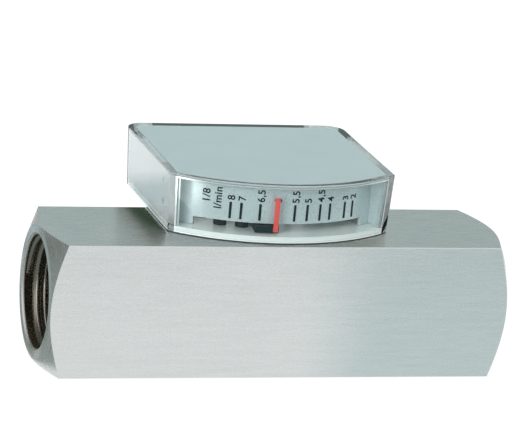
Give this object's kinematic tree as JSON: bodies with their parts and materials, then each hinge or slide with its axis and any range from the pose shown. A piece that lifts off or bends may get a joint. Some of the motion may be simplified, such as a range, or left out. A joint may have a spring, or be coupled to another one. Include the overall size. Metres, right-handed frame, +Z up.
{
  "type": "rotameter",
  "caption": "Inline variable-area flow meter: square steel body threaded at both ends, with a magnetic spring piston and a clear dial case with a red pointer on a curved scale.",
  "frame": {"origin": "centre of the body's bottom face", "axes": "+X along the bore towards the inlet, +Y towards the back of the dial case, +Z up"},
  "size_m": [0.139, 0.0697, 0.058],
  "materials": {
    "body_steel": "brushed along the bar",
    "hardware_steel": "plain turned steel",
    "spring_steel": "drawn wire",
    "brass": "turned",
    "magnet": "sintered magnet, ground",
    "seal_rubber": "matt black",
    "base_metal": "bright rolled",
    "hood_metal": "silver-grey satin",
    "scale_metal": "silver-grey satin, printed black",
    "clear_plastic": "clear moulded",
    "black_screws": "black oxide",
    "lever_black": "moulded black",
    "pointer_red": "red"
  },
  "bodies": {
    "meter_body": {"body": "body_steel", "outlet_snap_ring": "hardware_steel", "inlet_snap_ring": "hardware_steel", "return_spring": "spring_steel", "cone_spider": "hardware_steel", "metering_cone": "hardware_steel", "cone_nut": "hardware_steel", "case_seal": "seal_rubber", "base_plate": "base_metal", "base_screws": "hardware_steel", "front_screws": "black_screws", "clear_cover": "clear_plastic", "cover_screws": "hardware_steel", "hood": "hood_metal", "hood_pillars": "base_metal", "pillar_screws": "hardware_steel", "scale_plate": "scale_metal", "scale_rivets": "hood_metal", "pivot_pin": "hardware_steel", "thrust_washer": "brass", "pivot_clip": "hardware_steel", "stop_pins": "hardware_steel"},
    "piston_group": {"piston": "brass", "ring_magnet": "magnet", "clamp_ring": "brass"},
    "pointer": {"pointer_lever": "lever_black", "pivot_bush": "brass", "pointer_magnet": "magnet", "balance_weight": "brass", "pointer_tip": "pointer_red"}
  },
  "joints": [
    {"name": "piston_slide", "type": "slide", "parent": "meter_body", "child": "piston_group", "axis": [1, 0, 0], "range_m": [-0.01169, 0.02046], "stiffness_N_per_m": 40, "springref_m": 0.024, "deforming": ["return_spring"]},
    {"name": "pointer_swing", "type": "hinge", "parent": "meter_body", "child": "pointer", "pos_m": [0.00095, 0.0335, 0.0418], "axis": [0, 0, 1], "range_deg": [-20, 35]}
  ],
  "couplings": [
    {"joint": "pointer_swing", "follows": "piston_slide", "rad_per_m": 29.851}
  ]
}
